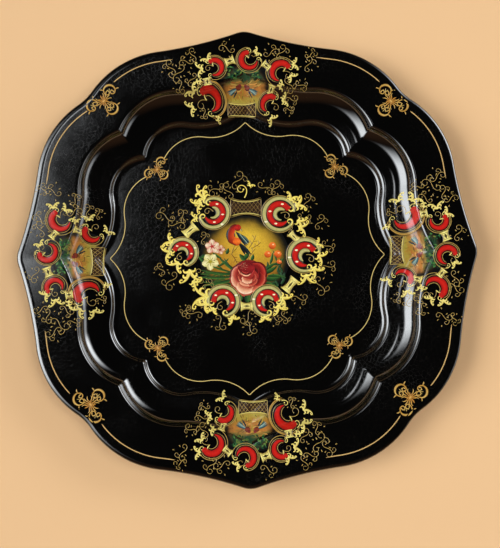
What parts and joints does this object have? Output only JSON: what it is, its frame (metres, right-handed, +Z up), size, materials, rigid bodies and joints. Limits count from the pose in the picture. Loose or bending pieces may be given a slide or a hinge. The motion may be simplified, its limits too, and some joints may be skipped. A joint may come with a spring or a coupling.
{
  "type": "painted metal tray",
  "caption": "Black-lacquered pressed steel tray with a lobed outline, a stepped wall round a flat floor, a broad wired rim, and painted scroll-framed pictures with gold lines.",
  "frame": {"origin": "middle of the flat underside of the floor, on the surface the tray stands on", "axes": "+Z up, square off the floor of the tray; +X and +Y run through tips of the outline, and +Y is the top of the centre picture"},
  "size_m": [0.34, 0.34, 0.0182],
  "materials": {
    "back_enamel": "satin black enamel on pressed steel",
    "steel_wire": "drawn mild steel wire",
    "black_lacquer": "polished black lacquer with fine crackle",
    "picture_paint": "oil paint under clear varnish",
    "gold_paint": "gold scrollwork paint under clear varnish"
  },
  "bodies": {
    "root": {"tray_pan": "back_enamel", "rim_wire": "steel_wire", "face_lacquer": "black_lacquer", "centre_medallion": "picture_paint", "rim_medallion_east": "picture_paint", "rim_medallion_north": "picture_paint", "rim_medallion_west": "picture_paint", "rim_medallion_south": "picture_paint", "inner_gold_line": "gold_paint", "outer_gold_line": "gold_paint"}
  },
  "joints": []
}
